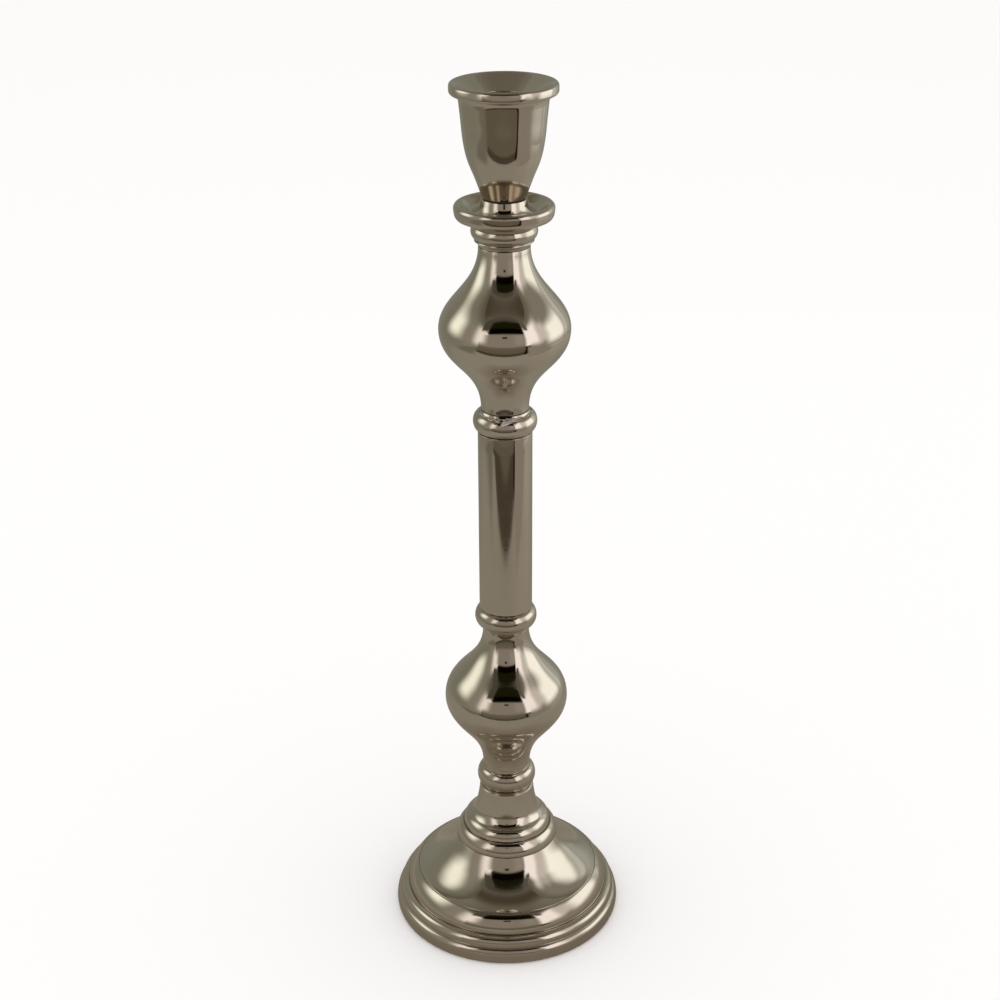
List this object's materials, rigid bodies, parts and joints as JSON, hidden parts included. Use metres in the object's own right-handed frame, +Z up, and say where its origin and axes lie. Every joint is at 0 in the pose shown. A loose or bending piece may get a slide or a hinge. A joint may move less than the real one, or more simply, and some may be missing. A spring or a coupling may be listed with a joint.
{
  "type": "candlestick",
  "caption": "Tall polished metal candlestick: bell-shaped candle cup over a dished drip pan, turned knops and beads on a straight column, and a stepped round domed base.",
  "frame": {"origin": "centre of the felt pad's underside, on the table", "axes": "+Z up along the stick's axis of turning; X and Y are any two directions square to it"},
  "size_m": [0.1122, 0.1122, 0.4166],
  "materials": {
    "nickel_plate": "polished nickel plate on cast and turned metal",
    "zinc_steel": "zinc-plated steel",
    "brass": "turned, unplated",
    "cast_iron": "as cast",
    "fibre": "dark vulcanised fibre",
    "felt": "pressed wool felt"
  },
  "bodies": {
    "stand": {"drip_pan": "nickel_plate", "pan_collar": "nickel_plate", "upper_knop": "nickel_plate", "upper_bead": "nickel_plate", "tube_bush_top": "brass", "column_tube": "nickel_plate", "tube_bush_bottom": "brass", "lower_bead": "nickel_plate", "lower_knop": "nickel_plate", "base_bead": "nickel_plate", "pedestal": "nickel_plate", "step_ring": "nickel_plate", "base_shell": "nickel_plate", "ballast": "cast_iron", "tie_rod": "zinc_steel", "flat_washer": "zinc_steel", "spring_washer": "zinc_steel", "base_nut": "zinc_steel", "felt_pad": "felt"},
    "seam_washer": {"cup_washer": "fibre"},
    "cup": {"candle_cup": "nickel_plate"}
  },
  "joints": [
    {"name": "cup_turn", "type": "hinge", "parent": "stand", "child": "seam_washer", "pos_m": [0, 0, 0.3668], "axis": [0, 0, 1], "range_deg": [0, 2880]},
    {"name": "cup_lift", "type": "slide", "parent": "seam_washer", "child": "cup", "axis": [0, 0, 1], "range_m": [0, 0.01001]}
  ],
  "couplings": [
    {"joint": "cup_lift", "follows": "cup_turn", "m_per_rad": 0.00019894}
  ]
}
